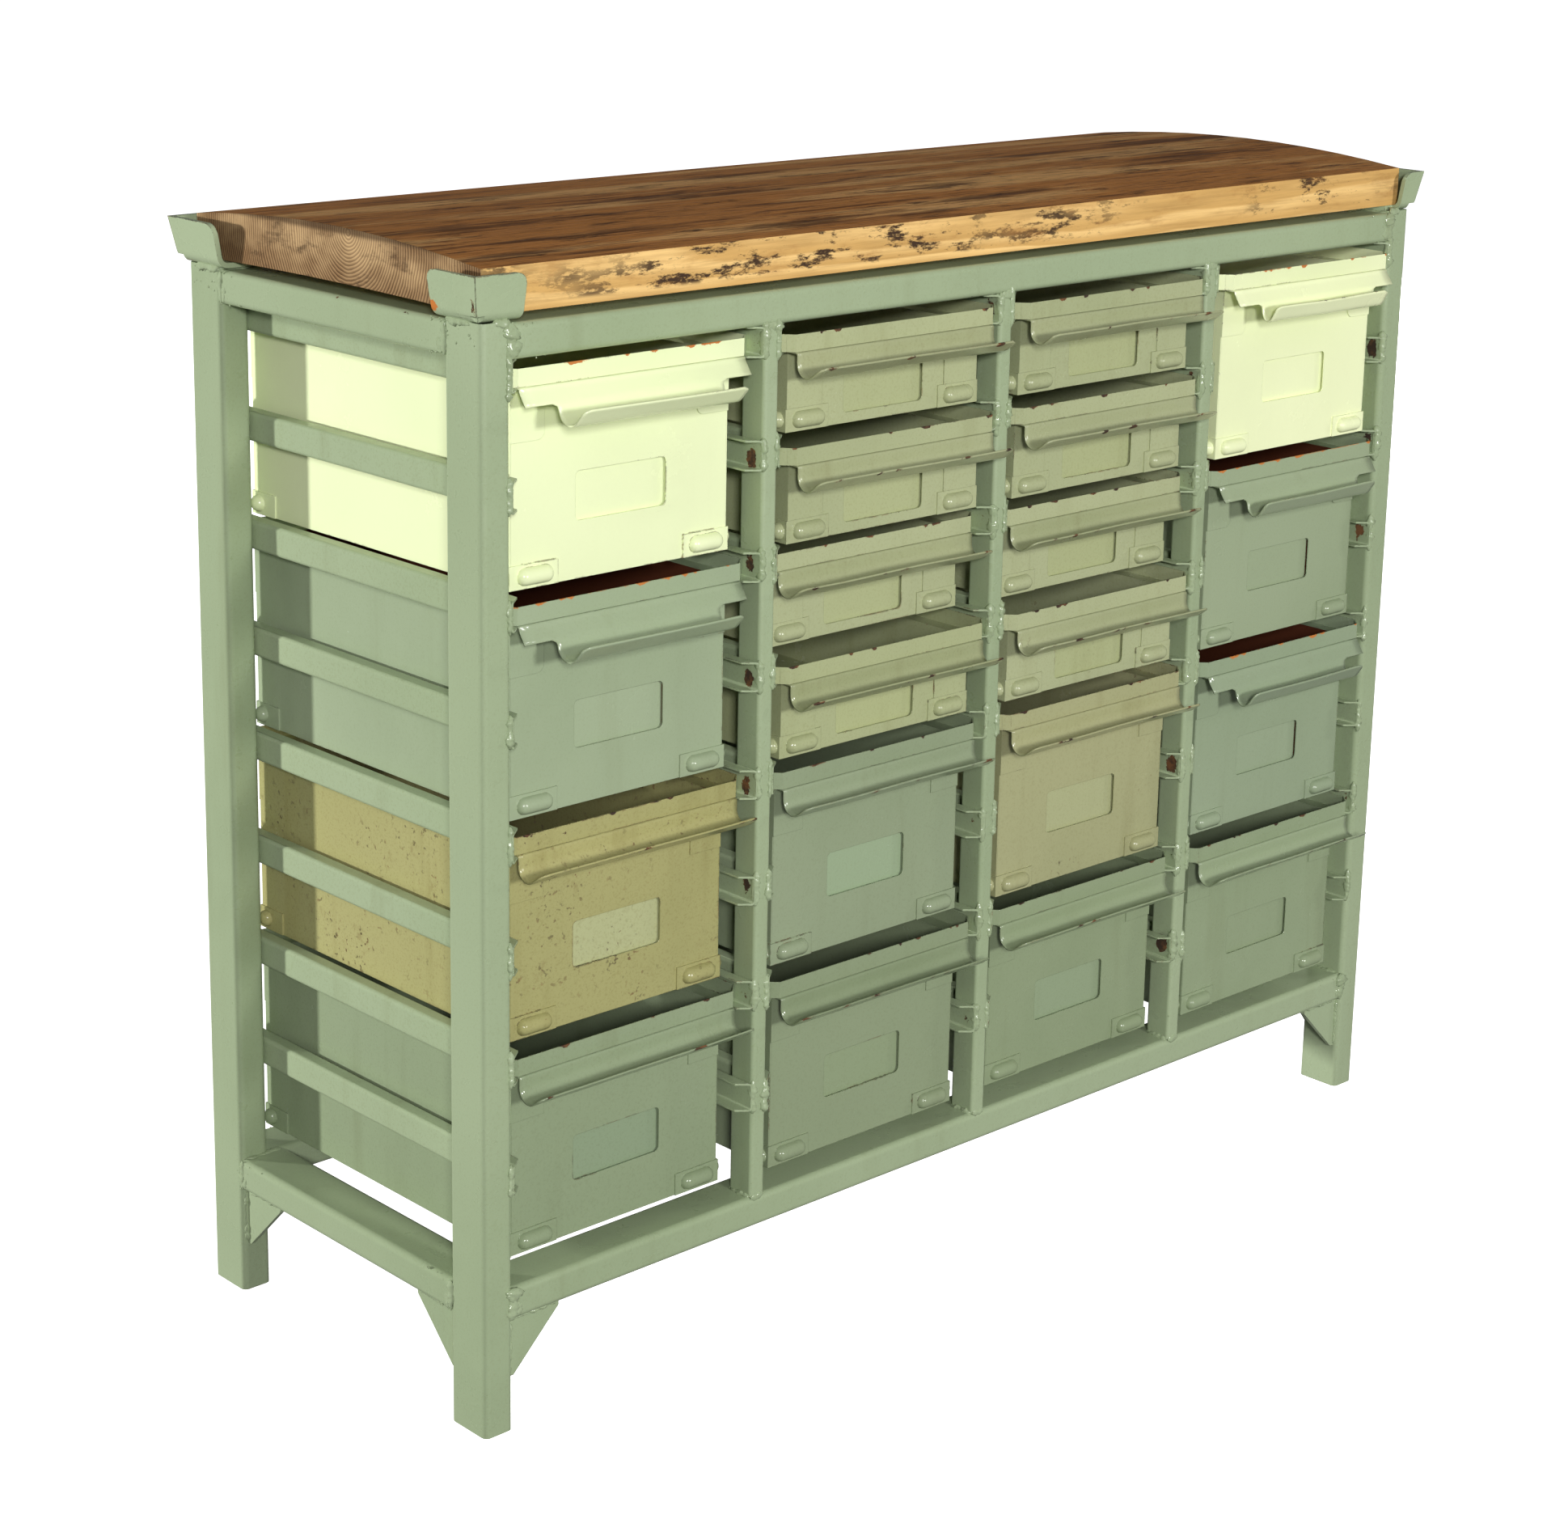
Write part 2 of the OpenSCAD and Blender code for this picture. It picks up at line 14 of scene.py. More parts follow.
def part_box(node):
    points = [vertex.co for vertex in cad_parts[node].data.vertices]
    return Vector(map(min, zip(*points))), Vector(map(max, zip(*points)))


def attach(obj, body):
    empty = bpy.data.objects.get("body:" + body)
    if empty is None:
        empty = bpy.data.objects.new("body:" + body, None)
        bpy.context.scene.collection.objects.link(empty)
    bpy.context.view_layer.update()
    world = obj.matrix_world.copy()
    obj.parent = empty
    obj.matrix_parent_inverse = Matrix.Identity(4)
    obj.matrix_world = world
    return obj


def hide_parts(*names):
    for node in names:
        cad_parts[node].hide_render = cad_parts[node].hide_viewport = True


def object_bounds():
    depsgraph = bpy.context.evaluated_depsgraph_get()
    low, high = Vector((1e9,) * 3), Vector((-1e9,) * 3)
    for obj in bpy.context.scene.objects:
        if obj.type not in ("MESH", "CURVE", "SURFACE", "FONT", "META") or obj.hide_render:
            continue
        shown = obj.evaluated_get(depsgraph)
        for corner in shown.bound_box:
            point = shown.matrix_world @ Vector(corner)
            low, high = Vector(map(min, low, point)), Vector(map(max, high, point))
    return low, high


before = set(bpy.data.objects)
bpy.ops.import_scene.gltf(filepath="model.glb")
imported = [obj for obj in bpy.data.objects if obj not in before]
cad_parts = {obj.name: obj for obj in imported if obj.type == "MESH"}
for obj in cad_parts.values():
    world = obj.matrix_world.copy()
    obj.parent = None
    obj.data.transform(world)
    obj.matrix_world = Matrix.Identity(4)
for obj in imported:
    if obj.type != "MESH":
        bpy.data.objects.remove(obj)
cad_box = [[float(v) for v in corner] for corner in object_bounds()]

# ---- Sizes that the looks need and the frame's boxes don't give ----

MM = 0.001
SHEET = 1.2 * MM
LEDGE = 17 * MM
WINDOW = (105 * MM, 45 * MM)
WINDOW_TALL_Z = 75 * MM
WINDOW_LOW_Z = 32.5 * MM
TALL_BIN = 120 * MM  # bins higher than this are the tall ones

# Camera: its place from the front left foot's outer corner, and where it looks
CAMERA_FROM_FOOT = (-1.612, -2.0951, 1.4754)
CAMERA_YAW = 43.16
CAMERA_PITCH = 14.11
CAMERA_ROLL = 1.107
CAMERA_LENS = 73.17
CAMERA_SENSOR = 36
CAMERA_SHIFT_Y = -0.12

# Linear colours
FRAME_PAINT = (0.365, 0.445, 0.272)
PRIMER = (0.110, 0.034, 0.017)
RUST_DARK = (0.045, 0.024, 0.014)
RUST_LIGHT = (0.200, 0.085, 0.030)
RUST_ORANGE = (0.560, 0.190, 0.040)
SOIL = (0.62, 0.56, 0.45)


# ---- Node trees ----


class Nodes:
    """A material's node tree. Inputs take sockets or plain values."""

    BEVEL_SAMPLES = 4

    def __init__(self, name):
        self.material = bpy.data.materials.new(name)
        self.material.use_nodes = True
        self.tree = self.material.node_tree
        self.tree.nodes.clear()
        self.shader = self.add("ShaderNodeBsdfPrincipled")
        out = self.add("ShaderNodeOutputMaterial")
        self.tree.links.new(self.shader.outputs[0], out.inputs["Surface"])
        self.place = self.add("ShaderNodeTexCoord").outputs["Object"]

    def add(self, kind, inputs=(), **settings):
        node = self.tree.nodes.new(kind)
        for key, value in settings.items():
            setattr(node, key, value)
        for key, value in dict(inputs).items():
            self.put(node.inputs[key], value)
        return node

    def put(self, socket, value):
        if isinstance(value, bpy.types.NodeSocket):
            self.tree.links.new(value, socket)
        elif socket.type == "RGBA" and len(value) == 3:
            socket.default_value = (*value, 1)
        else:
            socket.default_value = value

    def math(self, operation, a, b=0.0):
        return self.add("ShaderNodeMath", {0: a, 1: b}, operation=operation).outputs[0]

    def mix(self, factor, a, b, blend="MIX"):
        node = self.add("ShaderNodeMix", data_type="RGBA", blend_type=blend, clamp_factor=True)
        self.put(node.inputs[0], factor)
        self.put(node.inputs[6], a)
        self.put(node.inputs[7], b)
        return node.outputs[2]

    def remap(self, value, low, high, to_low=0.0, to_high=1.0):
        """Smooth step from to_low to to_high as value goes from low to high."""
        node = self.add(
            "ShaderNodeMapRange",
            {"Value": value, "From Min": low, "From Max": high, "To Min": to_low, "To Max": to_high},
            interpolation_type="SMOOTHSTEP",
        )
        return node.outputs[0]

    def noise(self, scale, detail=3.0, rough=0.5, stretch=(1, 1, 1), offset=0.0):
        move = (offset, offset * 0.7, offset * 1.3)
        node = self.add("ShaderNodeMapping", {"Vector": self.place, "Scale": stretch, "Location": move})
        out = self.add(
            "ShaderNodeTexNoise",
            {"Vector": node.outputs[0], "Scale": scale, "Detail": detail, "Roughness": rough},
        )
        return out.outputs[0]

    def inside(self, centre, half):
        """1 inside the box of that centre and those half sizes, 0 outside."""
        off = self.add("ShaderNodeVectorMath", {0: self.place, 1: centre}, operation="SUBTRACT")
        size = self.add("ShaderNodeVectorMath", {0: off.outputs[0]}, operation="ABSOLUTE")
        split = self.add("ShaderNodeSeparateXYZ", {0: size.outputs[0]})
        flags = [self.math("LESS_THAN", split.outputs[i], half[i]) for i in range(3)]
        return self.math("MULTIPLY", self.math("MULTIPLY", flags[0], flags[1]), flags[2])

    def blob(self, centre, radii, soft):
        """1 inside an ellipsoid, fading to 0 at its surface over that share of its radii."""
        off = self.add("ShaderNodeVectorMath", {0: self.place, 1: centre}, operation="SUBTRACT")
        size = self.add("ShaderNodeVectorMath", {0: off.outputs[0], 1: radii}, operation="DIVIDE")
        far = self.add("ShaderNodeVectorMath", {0: size.outputs[0]}, operation="LENGTH")
        return self.remap(far.outputs["Value"], 1.0, 1.0 - soft)

    def edges(self, radius):
        """0 on flat ground, up to 1 where the surface turns within radius."""
        soft = self.add("ShaderNodeBevel", {"Radius": radius}, samples=self.BEVEL_SAMPLES)
        true = self.add("ShaderNodeNewGeometry").outputs["Normal"]
        dot = self.add("ShaderNodeVectorMath", {0: soft.outputs[0], 1: true}, operation="DOT_PRODUCT")
        return self.remap(dot.outputs["Value"], 0.98, 0.75)

    def bump(self, height, strength, distance, rounding=0.0):
        """Relief on the surface, and its sharp edges rounded off."""
        node = self.add("ShaderNodeBump", {"Height": height, "Strength": strength, "Distance": distance})
        if rounding:
            soft = self.add("ShaderNodeBevel", {"Radius": rounding}, samples=self.BEVEL_SAMPLES)
            self.put(node.inputs["Normal"], soft.outputs[0])
        self.put(self.shader.inputs["Normal"], node.outputs[0])


def tinted(colour, by):
    return tuple(min(1.0, c * k) for c, k in zip(colour, by))


WORN_EDGE = 2.4 * MM  # how far the wear reaches from an edge
CHIPPED = (0.745, 0.775)  # wear at which the paint starts to go, and at which it has gone


def paint(
    name, base, chips=0.3, spots=0.0, grime=0.3, rough=0.36, seed=0.0, parts=(), scars=(), rounding=0.8
):
    """Old brushed enamel over steel, with chips down to rust at its edges.

    parts are (centre, half size, colour) boxes of another colour, and scars are
    (centre, radii, amount, colour) places where the paint has gone. rounding is in
    millimetres, and 0 leaves the edges sharp.
    """
    n = Nodes(name)
    broad = n.noise(2.2, 2, offset=seed)
    patch = n.noise(14, 5, 0.6, offset=seed + 3)
    streak = n.noise(26, 4, 0.6, (1, 1, 0.10), seed + 5)
    fine = n.noise(420, 3, 0.6, offset=seed)
    darker, lighter = tinted(base, (0.90, 0.91, 0.89)), tinted(base, (1.05, 1.04, 1.06))
    colour = n.mix(n.remap(broad, 0.3, 0.7), darker, lighter)
    colour = n.mix(n.remap(patch, 0.35, 0.75, 0, 0.5), colour, base)
    for centre, half, tint in parts:
        colour = n.mix(n.inside(centre, half), colour, tint)
    # Dirt that has run down and settled
    soil = n.mix(1.0, colour, SOIL, "MULTIPLY")
    colour = n.mix(n.remap(streak, 0.52, 0.80, 0, grime), colour, soil)
    colour = n.mix(n.remap(fine, 0.48, 0.72, 0, 0.8 * grime), colour, soil)
    # Chips in clusters along the edges, and a few on the flats
    edge = n.edges(WORN_EDGE)
    flake = n.noise(120, 7, 0.70, offset=seed + 9)
    group = n.remap(n.noise(8, 3, 0.6, offset=seed + 7), 0.56 - 0.12 * chips, 0.70 - 0.08 * chips)
    reach = n.math("MULTIPLY", edge, n.math("ADD", 0.06, n.math("MULTIPLY", group, 0.20 + 0.06 * chips)))
    worn = n.math("ADD", flake, reach)
    bare = 0.0
    if spots:
        where = n.remap(n.noise(7, 4, 0.65, offset=seed + 11), 0.66 - 0.30 * spots, 0.80 - 0.20 * spots)
        speck = n.math("MULTIPLY", n.remap(n.noise(170, 4, 0.6, offset=seed + 12), 0.60, 0.66), where)
        stain = n.remap(n.noise(45, 6, 0.7, offset=seed + 2), 0.56, 0.70, 0, 0.55 * spots)
        colour = n.mix(n.math("MULTIPLY", stain, where), colour, (0.20, 0.13, 0.05))
        bare = n.math("MULTIPLY", speck, 0.9)
    for centre, radii, amount, _ in scars:
        near = n.blob(centre, radii, 0.9)
        worn = n.math("ADD", worn, n.math("MULTIPLY", near, amount))
    chip = n.math("MAXIMUM", n.remap(worn, *CHIPPED), bare)
    rust = n.mix(n.remap(n.noise(70, 5, 0.7, offset=seed), 0.42, 0.66), RUST_DARK, RUST_LIGHT)
    for centre, radii, amount, tint in scars:
        if tint:
            rust = n.mix(n.blob(centre, tuple(1.3 * r for r in radii), 0.3), rust, tint)
    colour = n.mix(chip, colour, rust)
    n.put(n.shader.inputs["Base Color"], colour)
    gloss = n.remap(patch, 0.3, 0.7, rough - 0.06, rough + 0.08)
    n.put(n.shader.inputs["Roughness"], n.math("MAXIMUM", gloss, n.math("MULTIPLY", chip, 0.8)))
    n.shader.inputs["IOR"].default_value = 1.5
    # Brushed film over uneven sheet, with the chips as pits
    film = n.math("MULTIPLY", n.noise(240, 2, 0.5, (1, 1, 0.35), seed), 0.35)
    swell = n.math("MULTIPLY", n.noise(26, 2, offset=seed), 1.6)
    height = n.math("SUBTRACT", n.math("ADD", film, swell), n.math("MULTIPLY", chip, 0.5))
    n.bump(height, 0.35, 0.8 * MM, rounding * MM)
    return n.material


def timber(name):
    """A wide slab with its heart just under the top: rings on the ends, long grain on the faces."""
    n = Nodes(name)
    low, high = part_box("worktop")
    heart_y, heart_z = (low.y + high.y) / 2 - 26 * MM, high.z - 4 * MM
    ring_step = 3.4 * MM
    split = n.add("ShaderNodeSeparateXYZ", {0: n.place})
    y = n.math("SUBTRACT", split.outputs[1], heart_y)
    z = n.math("SUBTRACT", split.outputs[2], heart_z)
    far = n.math("SQRT", n.math("ADD", n.math("MULTIPLY", y, y), n.math("MULTIPLY", z, z)))
    warp = n.noise(1.0, 3, 0.55, (0.7, 6, 6))
    ripple = n.noise(30, 3, 0.6, (0.12, 1, 1), 3)
    far = n.math("ADD", far, n.math("MULTIPLY", warp, 30 * MM))
    far = n.math("ADD", far, n.math("MULTIPLY", ripple, 4 * MM))
    turn = n.math("FRACT", n.math("DIVIDE", far, ring_step))
    ring = n.math("MULTIPLY", n.remap(turn, 0.0, 0.75), n.remap(turn, 1.0, 0.84))
    fibre = n.noise(9, 6, 0.65, (1, 26, 26))
    hair = n.noise(26, 5, 0.65, (1, 34, 34))
    normal = n.add("ShaderNodeSeparateXYZ", {0: n.add("ShaderNodeTexCoord").outputs["Normal"]})
    top = n.remap(normal.outputs[2], 0.5, 0.9)
    end = n.remap(n.math("ABSOLUTE", normal.outputs[0]), 0.5, 0.9)
    # Bare wood on the long sides
    wood = n.mix(ring, (0.94, 0.62, 0.245), (0.70, 0.42, 0.140))
    wood = n.mix(n.remap(fibre, 0.35, 0.75, 0, 0.6), wood, (0.44, 0.255, 0.085))
    # End grain: tan patches, fewer towards the bottom, dark ones, and a rim darker along the top
    butt = n.mix(ring, (0.310, 0.185, 0.088), (0.100, 0.053, 0.025))
    pale = n.remap(n.noise(11, 3, 0.6, (1, 1, 1.6), 6), 0.38, 0.66)
    pale = n.math("MULTIPLY", pale, n.remap(z, -52 * MM, -14 * MM, 0.35, 1))
    butt = n.mix(n.math("MULTIPLY", pale, n.remap(ring, 0, 1, 0.95, 0.45)), butt, (0.600, 0.405, 0.205))
    dark = n.remap(n.noise(26, 5, 0.7, (1, 0.6, 1.4), 5), 0.56, 0.72)
    dark = n.math("MAXIMUM", n.math("MULTIPLY", dark, 0.7), n.remap(z, -5 * MM, 0, 0, 0.7))
    butt = n.mix(dark, butt, (0.050, 0.028, 0.016))
    wood = n.mix(end, wood, butt)
    # The stained top, with lighter bands and darker runs along the grain
    stain = n.mix(n.math("MULTIPLY", ring, 0.5), (0.60, 0.255, 0.066), (0.36, 0.140, 0.036))
    band = n.noise(2.1, 5, 0.6, (0.8, 9, 9), 12)
    stain = n.mix(n.remap(band, 0.50, 0.62, 0, 0.75), stain, (0.86, 0.50, 0.190))
    run = n.noise(3.0, 6, 0.68, (1, 12, 12), 4)
    stain = n.mix(n.remap(run, 0.52, 0.64, 0, 0.85), stain, (0.110, 0.043, 0.012))
    stain = n.mix(n.remap(hair, 0.50, 0.66, 0, 0.8), stain, (0.060, 0.026, 0.009))
    mark = n.remap(n.noise(11, 5, 0.7, (1, 6, 6), 15), 0.58, 0.66)
    mark = n.math("MULTIPLY", mark, n.remap(hair, 0.36, 0.55))
    stain = n.mix(n.math("MULTIPLY", mark, 0.9), stain, (0.022, 0.013, 0.007))
    wood = n.mix(top, wood, stain)
    # What is left of the stain on the front edge: most at the left, none along the bottom
    group = n.remap(n.noise(5, 3, 0.6, (1, 2, 2), 2), 0.36, 0.56)
    corner = n.remap(split.outputs[0], low.x, low.x + 0.35, 0.10, 0)
    left = n.remap(n.math("ADD", n.noise(19, 6, 0.74, (1, 3.4, 3.4), 8), corner), 0.52, 0.60)
    ragged = n.remap(n.noise(90, 4, 0.7, (0.6, 1.6, 1.6), 9), 0.36, 0.50)
    side = n.math("SUBTRACT", 1.0, n.math("MAXIMUM", top, end))
    side = n.math("MULTIPLY", side, n.remap(split.outputs[2], low.z + 4 * MM, low.z + 9 * MM))
    shown = n.math("MULTIPLY", n.math("MULTIPLY", group, left), n.math("MULTIPLY", ragged, side))
    wood = n.mix(shown, wood, (0.060, 0.034, 0.020))
    tinge = n.remap(n.noise(12, 5, 0.7, (1, 4, 4), 18), 0.50, 0.70, 0, 0.5)
    wood = n.mix(n.math("MULTIPLY", tinge, side), wood, (0.42, 0.20, 0.060))
    n.put(n.shader.inputs["Base Color"], wood)
    n.put(n.shader.inputs["Roughness"], n.remap(fibre, 0.3, 0.7, 0.45, 0.65))
    n.shader.inputs["Specular IOR Level"].default_value = 0.14
    height = n.math("ADD", n.math("MULTIPLY", hair, 0.6), n.math("MULTIPLY", ring, -0.35))
    n.bump(height, 0.5, 0.7 * MM, 1.0 * MM)
    return n.material


# ---- Paint on the frame ----


def give(node, material):
    """The CAD node shows that material."""
    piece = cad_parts[node]
    piece.data.materials.clear()
    piece.data.materials.append(material)
    weld = piece.modifiers.new("merge", "WELD")
    weld.merge_threshold = 0.01 * MM


RUNNER_H = 29 * MM
LEVELS = 8
RUNNER_CLEAR = 2.4 * MM  # how far the beads may stand in from a channel's back
runner_low, runner_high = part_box("runners_column_1")
PITCH = (runner_high.z - runner_low.z - RUNNER_H) / (LEVELS - 1)


def runner_scars(column):
    """Rusty bare patches on the webs, beside the welds at their front ends."""
    a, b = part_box(f"runners_column_{column}")
    dice = random.Random(100 + column)
    scars = []
    for level in range(LEVELS):
        amount = dice.choice((0.0, 0.22, 0.45, 0.60))
        if amount:
            z = a.z + level * PITCH + dice.uniform(8, 20) * MM
            centre = (b.x, a.y + dice.uniform(11, 15) * MM, z)
            radii = (8 * MM, dice.uniform(10, 15) * MM, dice.uniform(15, 24) * MM)
            scars.append((centre, radii, amount, None))
    return scars


SCAR_W = 4.5 * MM  # a scar's radius across its edge
SPAN = 0.05  # an edge runs along the axes on which it is longer than this


def edge_scars(start, end, count, seed, amount=0.34, radius=9 * MM, tint=None):
    """Chipped places scattered along the edge from start to end."""
    dice = random.Random(seed)
    start, end = Vector(start), Vector(end)
    scars = []
    for _ in range(count):
        spot = start.lerp(end, dice.random())
        long = radius * dice.uniform(0.6, 1.8)
        size = tuple(long if abs(b - a) > SPAN else SCAR_W for a, b in zip(start, end))
        scars.append((tuple(spot), size, amount * dice.uniform(0.7, 1.2), tint))
    return scars


rail_low, rail_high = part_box("rails_top_side")
long_low, long_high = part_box("rail_top_front")
frame_scars = edge_scars(
    (rail_low.x, rail_low.y + 0.04, rail_high.z), (rail_low.x, rail_high.y - 0.03, rail_high.z), 9, 7
)
frame_scars += edge_scars((long_low.x, long_low.y, long_low.z), (long_high.x, long_low.y, long_low.z), 12, 8)
frame_paint = paint("frame_paint", FRAME_PAINT, chips=0.8, grime=0.22, rough=0.31, scars=frame_scars)
timber_slab = timber("timber")
guard_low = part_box("corner_guards")[0]
rust_spot = (guard_low.x + 6 * MM, guard_low.y + 68 * MM, guard_low.z + 10 * MM)
worn_ridge = (guard_low.x + 6 * MM, guard_low.y + 9 * MM, guard_low.z + 24 * MM)
guard_scars = [
    (rust_spot, (12 * MM, 12 * MM, 9 * MM), 0.60, RUST_ORANGE),
    (worn_ridge, (7 * MM, 7 * MM, 34 * MM), 0.30, None),
]
# The guards get the frame's paint made lighter: painted light, standing in for the extra light their slanted
# faces catch
GUARD_PAINT_PAINTED_LIGHT = tinted(FRAME_PAINT, (1.14, 1.13, 1.15))
guard_paint = paint("guard_paint", GUARD_PAINT_PAINTED_LIGHT, chips=1.0, grime=0.15, rough=0.27, seed=40, scars=guard_scars)

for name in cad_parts:
    if name.startswith(("post", "rail", "divider", "gusset")):
        give(name, frame_paint)
give("corner_guards", guard_paint)
give("worktop", timber_slab)
for column in range(1, 5):
    look = {"chips": 0.7, "grime": 0.35, "rough": 0.35, "seed": 20 + column, "scars": runner_scars(column)}
    give(f"runners_column_{column}", paint(f"runner_paint_{column}", FRAME_PAINT, **look))

# ---- Paint on the bins ----

# Linear colours of the shell, the window and the pull, then chips, rust spots, grime
BIN_LOOKS = {
    "1_1": ((0.850, 0.925, 0.565), None, None, 0.6, 0.0, 0.03),
    "1_2": ((0.366, 0.440, 0.283), None, None, 0.4, 0.0, 0.15),
    "1_3": ((0.420, 0.400, 0.172), (0.460, 0.480, 0.255), None, 1.0, 0.8, 0.4),
    "1_4": ((0.290, 0.355, 0.215), (0.270, 0.345, 0.215), None, 0.4, 0.0, 0.25),
    "2_1": ((0.440, 0.475, 0.265), (0.440, 0.475, 0.255), (0.410, 0.435, 0.245), 0.6, 0.15, 0.3),
    "2_2": ((0.430, 0.465, 0.265), (0.440, 0.475, 0.255), (0.395, 0.425, 0.240), 0.6, 0.15, 0.3),
    "2_3": ((0.430, 0.465, 0.265), (0.440, 0.475, 0.255), (0.375, 0.405, 0.225), 0.6, 0.15, 0.3),
    "2_4": ((0.430, 0.465, 0.255), (0.440, 0.475, 0.245), (0.370, 0.400, 0.220), 0.6, 0.15, 0.3),
    "2_5": ((0.300, 0.360, 0.225), (0.330, 0.420, 0.262), None, 0.4, 0.0, 0.2),
    "2_6": ((0.270, 0.328, 0.196), (0.285, 0.350, 0.206), None, 0.4, 0.0, 0.2),
    "3_1": ((0.430, 0.465, 0.265), (0.430, 0.465, 0.245), (0.400, 0.430, 0.245), 0.6, 0.15, 0.3),
    "3_2": ((0.430, 0.465, 0.265), (0.430, 0.465, 0.245), (0.390, 0.420, 0.240), 0.6, 0.15, 0.3),
    "3_3": ((0.430, 0.465, 0.265), (0.430, 0.465, 0.245), (0.385, 0.415, 0.235), 0.6, 0.15, 0.3),
    "3_4": ((0.430, 0.465, 0.265), (0.430, 0.465, 0.245), (0.385, 0.415, 0.235), 0.6, 0.15, 0.3),
    "3_5": ((0.400, 0.405, 0.215), (0.430, 0.450, 0.245), None, 1.0, 0.35, 0.3),
    "3_6": ((0.300, 0.365, 0.218), (0.300, 0.375, 0.230), None, 0.4, 0.0, 0.2),
    "4_1": ((0.900, 0.960, 0.590), None, None, 0.5, 0.0, 0.03),
    "4_2": ((0.340, 0.408, 0.255), None, None, 0.3, 0.0, 0.15),
    "4_3": ((0.325, 0.398, 0.258), None, None, 0.4, 0.0, 0.15),
    "4_4": ((0.322, 0.392, 0.240), None, None, 0.3, 0.0, 0.2),
}
PRIMED = ("1_2", "4_2", "4_3")  # red-brown primer inside
PALE = ("1_1", "4_1")
BIN_ROUGH = 0.20


def window_box(low, high):
    """Centre and half size of the space in a bin's label window."""
    rise = WINDOW_TALL_Z if high.z - low.z > TALL_BIN else WINDOW_LOW_Z
    centre = ((low.x + high.x) / 2, low.y + LEDGE + 10 * MM, low.z + rise)
    return centre, (WINDOW[0] / 2 + 1.5 * MM, 10 * MM - SHEET / 2, WINDOW[1] / 2 + 1.5 * MM)


def inner_box(low, high):
    """Centre and half size of a bin's inside, out to the middle of its walls."""
    centre = [(a + b) / 2 for a, b in zip(low, high)]
    half = [(b - a) / 2 - LEDGE - SHEET / 2 for a, b in zip(low, high)]
    return tuple(centre), (half[0], half[1], high.z - low.z)


pull_paints = {}
for order, (name, (base, card, grip, chips, spots, grime)) in enumerate(BIN_LOOKS.items()):
    low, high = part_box(f"bin_{name}")
    seed = 7.3 * (order + 1)
    parts = []
    if name in PRIMED:
        parts.append((*inner_box(low, high), PRIMER))
    if card or name in PRIMED:
        parts.append((*window_box(low, high), card or base))
    edge = (low.x, low.y + 1 * MM, high.z), (high.x, low.y + 1 * MM, high.z)
    bright = name in PALE or name in PRIMED
    scars = edge_scars(*edge, 9 if bright else 5, order, 0.42, 6 * MM, RUST_ORANGE if bright else None)
    if name in PRIMED:
        rim = ((low.x + high.x) / 2, low.y, high.z + 1 * MM)
        scars.append((rim, (0.2, 3 * MM, 2.4 * MM), 0.22, RUST_ORANGE))
    give(f"bin_{name}", paint(f"bin_paint_{name}", base, chips, spots, grime, BIN_ROUGH, seed, parts, scars))
    low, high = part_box(f"pull_{name}")
    edge = (low.x, low.y - 12 * MM, low.z + 12 * MM), (high.x, low.y - 12 * MM, low.z + 12 * MM)
    lip_scars = edge_scars(*edge, 5, order + 50, 0.30)
    scars = [(spot, (size[0], 9 * MM, 5 * MM), amount, tint) for spot, size, amount, tint in lip_scars]
    wear = (chips + 0.4, 0.8 * spots, grime, BIN_ROUGH)
    pull_paints[name] = paint(f"pull_paint_{name}", grip or base, *wear, seed + 2, scars=scars)
    give(f"pull_{name}", pull_paints[name])

# ---- Pulls ----
# The CAD's pulls are shorter than the photo's, so these sheets stand for them. Their sections
# have the reach measured in the photo, but FURTHEST cuts it off, and five pulls end up short.

NOTCHED = ("1_1", "1_2", "4_1", "4_2", "4_3")
RIM_H = 16.5 * MM
SEAT_GAP = 0.3 * MM
PULL_T = 1.5 * MM
NOTCH = (35 * MM, 5 * MM)  # width at each end, and the fillet
PULL_CORNER = 7 * MM
PULL_COLUMNS = 40
DENTS = 0.6 * MM  # how far a sheet waves up and down, 20 mm out from the rim
FURTHEST = 13 * MM  # beyond the CAD's box: set by the size rule, and not measured in the photo

# Sections of the pulls, in millimetres out and up
SEAT_DEPTH = 15.5
BEND_R = 1.25
GUTTER_LEG, GUTTER_R, GUTTER_REACH, GUTTER_DROP = 9.0, 12.75, 34.0, 0.9
BAND_FOOT = (10.0, -15.0)
LIP_CENTRE, LIP_R, LIP_TIP = (26.0, -18.7), 14.0, (48.0, -15.5)
STIFF = 10  # up to this reach a section is never shortened


def arc_points(centre, radius, start, end, count):
    """Points of an arc in the plane of (out, up), angles in degrees."""
    turns = [math.radians(start + (end - start) * i / count) for i in range(count + 1)]
    return [(centre[0] + radius * math.cos(a), centre[1] + radius * math.sin(a)) for a in turns]


def straight(start, end, count):
    return [tuple(a + (b - a) * i / count for a, b in zip(start, end)) for i in range(count)]


def gutter_profile():
    """Section of a gutter pull: seat, leg, curl and a flange that slants up. It has no notched band."""
    seat = straight((-SEAT_DEPTH, 0), (0, 0), 4) + arc_points((0, -BEND_R), BEND_R, 90, 0, 3)
    leg = straight((BEND_R, -2 * BEND_R), (BEND_R, -GUTTER_LEG), 3)
    curl = arc_points((BEND_R + GUTTER_R, -GUTTER_LEG), GUTTER_R, 180, 307, 14)
    tip = (GUTTER_REACH, -GUTTER_LEG - GUTTER_DROP)
    return seat + leg + curl + straight(curl[-1], tip, 6)[1:] + [tip], None


